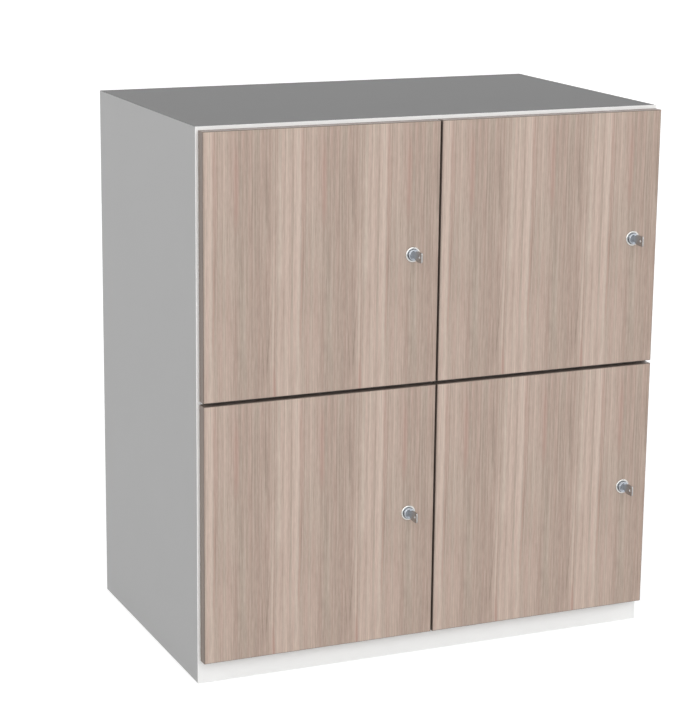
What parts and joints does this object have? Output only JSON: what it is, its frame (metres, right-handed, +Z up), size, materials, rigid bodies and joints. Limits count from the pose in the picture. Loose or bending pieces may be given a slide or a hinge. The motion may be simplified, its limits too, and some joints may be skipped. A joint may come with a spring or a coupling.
{
  "type": "locker",
  "caption": "Free-standing low locker of mitred boards, with compartments side by side and one above the other, each behind a hinged wood-decor door with a cam lock and its key.",
  "frame": {"origin": "on the floor, midway across the width and midway between the key tips and the rear edges", "axes": "+Z up, doors on the -Y side, +X to the right of someone who faces the doors"},
  "size_m": [0.8, 0.534, 0.89],
  "materials": {
    "carcass_board": "mid grey melamine",
    "top_board": "dark grey melamine",
    "back_board": "mid grey melamine",
    "white_facing": "white edging",
    "door_decor": "beige brown wood decor, upright grain",
    "door_edging": "brown wood decor edging",
    "beech": "raw",
    "hinge_steel": "nickel plated",
    "screw_steel": "zinc plated",
    "lock_nickel": "satin nickel",
    "key_metal": "nickel silver",
    "bumper_rubber": "clear soft"
  },
  "bodies": {
    "carcass": {"side_left": "carcass_board", "side_right": "carcass_board", "top_panel": "top_board", "bottom_panel": "carcass_board", "centre_partition": "carcass_board", "shelf_left": "carcass_board", "shelf_right": "carcass_board", "back_panel": "back_board", "front_rail": "carcass_board", "plinth_front": "carcass_board", "plinth_rear": "carcass_board", "top_facing": "white_facing", "base_facing": "white_facing", "front_edgings": "white_facing", "dowels": "beech", "hinge_arms": "hinge_steel", "hinge_pins": "hinge_steel", "mounting_plates": "hinge_steel", "plate_screws": "screw_steel", "arm_screws": "screw_steel", "strike_plates": "hinge_steel", "strike_screws": "screw_steel", "bumpers": "bumper_rubber"},
    "upper_left_door": {"upper_left_door_panel": "door_decor", "upper_left_door_edgings": "door_edging", "upper_left_hinge_cups": "hinge_steel", "upper_left_rosette": "lock_nickel", "upper_left_lock_housing": "lock_nickel", "upper_left_lock_nut": "lock_nickel"},
    "upper_left_cylinder": {"upper_left_lock_cylinder": "lock_nickel", "upper_left_lock_cam": "hinge_steel"},
    "upper_left_key": {"upper_left_key": "key_metal"},
    "lower_left_door": {"lower_left_door_panel": "door_decor", "lower_left_door_edgings": "door_edging", "lower_left_hinge_cups": "hinge_steel", "lower_left_rosette": "lock_nickel", "lower_left_lock_housing": "lock_nickel", "lower_left_lock_nut": "lock_nickel"},
    "lower_left_cylinder": {"lower_left_lock_cylinder": "lock_nickel", "lower_left_lock_cam": "hinge_steel"},
    "lower_left_key": {"lower_left_key": "key_metal"},
    "upper_right_door": {"upper_right_door_panel": "door_decor", "upper_right_door_edgings": "door_edging", "upper_right_hinge_cups": "hinge_steel", "upper_right_rosette": "lock_nickel", "upper_right_lock_housing": "lock_nickel", "upper_right_lock_nut": "lock_nickel"},
    "upper_right_cylinder": {"upper_right_lock_cylinder": "lock_nickel", "upper_right_lock_cam": "hinge_steel"},
    "upper_right_key": {"upper_right_key": "key_metal"},
    "lower_right_door": {"lower_right_door_panel": "door_decor", "lower_right_door_edgings": "door_edging", "lower_right_hinge_cups": "hinge_steel", "lower_right_rosette": "lock_nickel", "lower_right_lock_housing": "lock_nickel", "lower_right_lock_nut": "lock_nickel"},
    "lower_right_cylinder": {"lower_right_lock_cylinder": "lock_nickel", "lower_right_lock_cam": "hinge_steel"},
    "lower_right_key": {"lower_right_key": "key_metal"}
  },
  "joints": [
    {"name": "upper_left_hinge", "type": "hinge", "parent": "carcass", "child": "upper_left_door", "pos_m": [-0.389, -0.22615, 0.675], "axis": [0, 0, -1], "range_deg": [0, 95]},
    {"name": "upper_left_lock_turn", "type": "hinge", "parent": "upper_left_door", "child": "upper_left_cylinder", "pos_m": [-0.0465, -0.23295, 0.675], "axis": [0, -1, 0], "range_deg": [0, 90]},
    {"name": "upper_left_key_slide", "type": "slide", "parent": "upper_left_cylinder", "child": "upper_left_key", "axis": [0, -1, 0], "range_m": [0, 0.03]},
    {"name": "lower_left_hinge", "type": "hinge", "parent": "carcass", "child": "lower_left_door", "pos_m": [-0.389, -0.22615, 0.25], "axis": [0, 0, -1], "range_deg": [0, 95]},
    {"name": "lower_left_lock_turn", "type": "hinge", "parent": "lower_left_door", "child": "lower_left_cylinder", "pos_m": [-0.0465, -0.23295, 0.25], "axis": [0, -1, 0], "range_deg": [0, 90]},
    {"name": "lower_left_key_slide", "type": "slide", "parent": "lower_left_cylinder", "child": "lower_left_key", "axis": [0, -1, 0], "range_m": [0, 0.03]},
    {"name": "upper_right_hinge", "type": "hinge", "parent": "carcass", "child": "upper_right_door", "pos_m": [0.0095, -0.22615, 0.675], "axis": [0, 0, -1], "range_deg": [0, 95]},
    {"name": "upper_right_lock_turn", "type": "hinge", "parent": "upper_right_door", "child": "upper_right_cylinder", "pos_m": [0.352, -0.23295, 0.675], "axis": [0, -1, 0], "range_deg": [0, 90]},
    {"name": "upper_right_key_slide", "type": "slide", "parent": "upper_right_cylinder", "child": "upper_right_key", "axis": [0, -1, 0], "range_m": [0, 0.03]},
    {"name": "lower_right_hinge", "type": "hinge", "parent": "carcass", "child": "lower_right_door", "pos_m": [0.0095, -0.22615, 0.25], "axis": [0, 0, -1], "range_deg": [0, 95]},
    {"name": "lower_right_lock_turn", "type": "hinge", "parent": "lower_right_door", "child": "lower_right_cylinder", "pos_m": [0.352, -0.23295, 0.25], "axis": [0, -1, 0], "range_deg": [0, 90]},
    {"name": "lower_right_key_slide", "type": "slide", "parent": "lower_right_cylinder", "child": "lower_right_key", "axis": [0, -1, 0], "range_m": [0, 0.03]}
  ]
}
